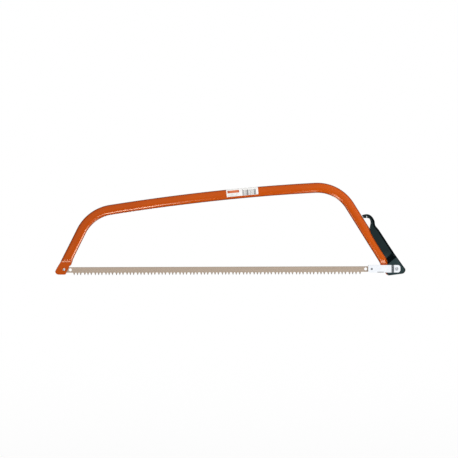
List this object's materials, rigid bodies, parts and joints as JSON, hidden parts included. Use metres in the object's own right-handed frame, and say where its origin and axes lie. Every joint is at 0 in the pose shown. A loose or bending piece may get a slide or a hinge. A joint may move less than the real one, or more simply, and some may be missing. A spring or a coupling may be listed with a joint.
{
  "type": "bow saw",
  "caption": "Bow saw with a bent oval-tube bow, a raker-toothed blade between two pins, and an over-centre tension lever with a knuckle hook and a folded link.",
  "frame": {"origin": "centre of the bottom of the bounding box: midway along the saw, on its mid-plane, level with the foot of the tension lever", "axes": "+X along the blade towards the tension lever, +Y through the saw to its back side, +Z from the blade up to the bow"},
  "size_m": [0.8523, 0.0156, 0.226],
  "materials": {
    "frame_enamel": "gloss orange enamel",
    "lever_enamel": "satin slate enamel",
    "blade_steel": "ground spring steel, tooth tips darkened by hardening",
    "link_zinc": "bright zinc plate on pressed steel",
    "rivet_steel": "zinc-plated steel",
    "pin_steel": "plain bright steel",
    "label_vinyl": "printed white vinyl"
  },
  "bodies": {
    "bow": {"frame_tube": "frame_enamel", "label": "label_vinyl", "lever_pivot_rivet": "rivet_steel"},
    "lever": {"tension_lever": "lever_enamel", "link_rivet": "rivet_steel", "link_washer_front": "rivet_steel", "link_washer_back": "rivet_steel"},
    "link": {"tension_link": "link_zinc"},
    "blade": {"blade": "blade_steel"},
    "nose_pin": {"blade_pin_nose": "pin_steel"},
    "link_pin": {"blade_pin_link": "pin_steel"}
  },
  "joints": [
    {"name": "lever_open", "type": "hinge", "parent": "bow", "child": "lever", "pos_m": [0.391, 0, 0.012], "axis": [0, 1, 0], "range_deg": [0, 105]},
    {"name": "link_fold", "type": "hinge", "parent": "lever", "child": "link", "pos_m": [0.404, 0, 0.0162], "axis": [0, 1, 0], "range_deg": [-67.2, 0]},
    {"name": "blade_tilt", "type": "hinge", "parent": "link", "child": "blade", "pos_m": [0.3434, 0, 0.0162], "axis": [0, 1, 0], "range_deg": [-39.7, 0]},
    {"name": "nose_pin_draw", "type": "slide", "parent": "bow", "child": "nose_pin", "axis": [0, 1, 0], "range_m": [0, 0.014]},
    {"name": "link_pin_draw", "type": "slide", "parent": "link", "child": "link_pin", "axis": [0, 1, 0], "range_m": [0, 0.014]}
  ],
  "couplings": [
    {"joint": "link_fold", "follows": "lever_open", "ratio": -0.638},
    {"joint": "blade_tilt", "follows": "lever_open", "ratio": -0.3759}
  ]
}
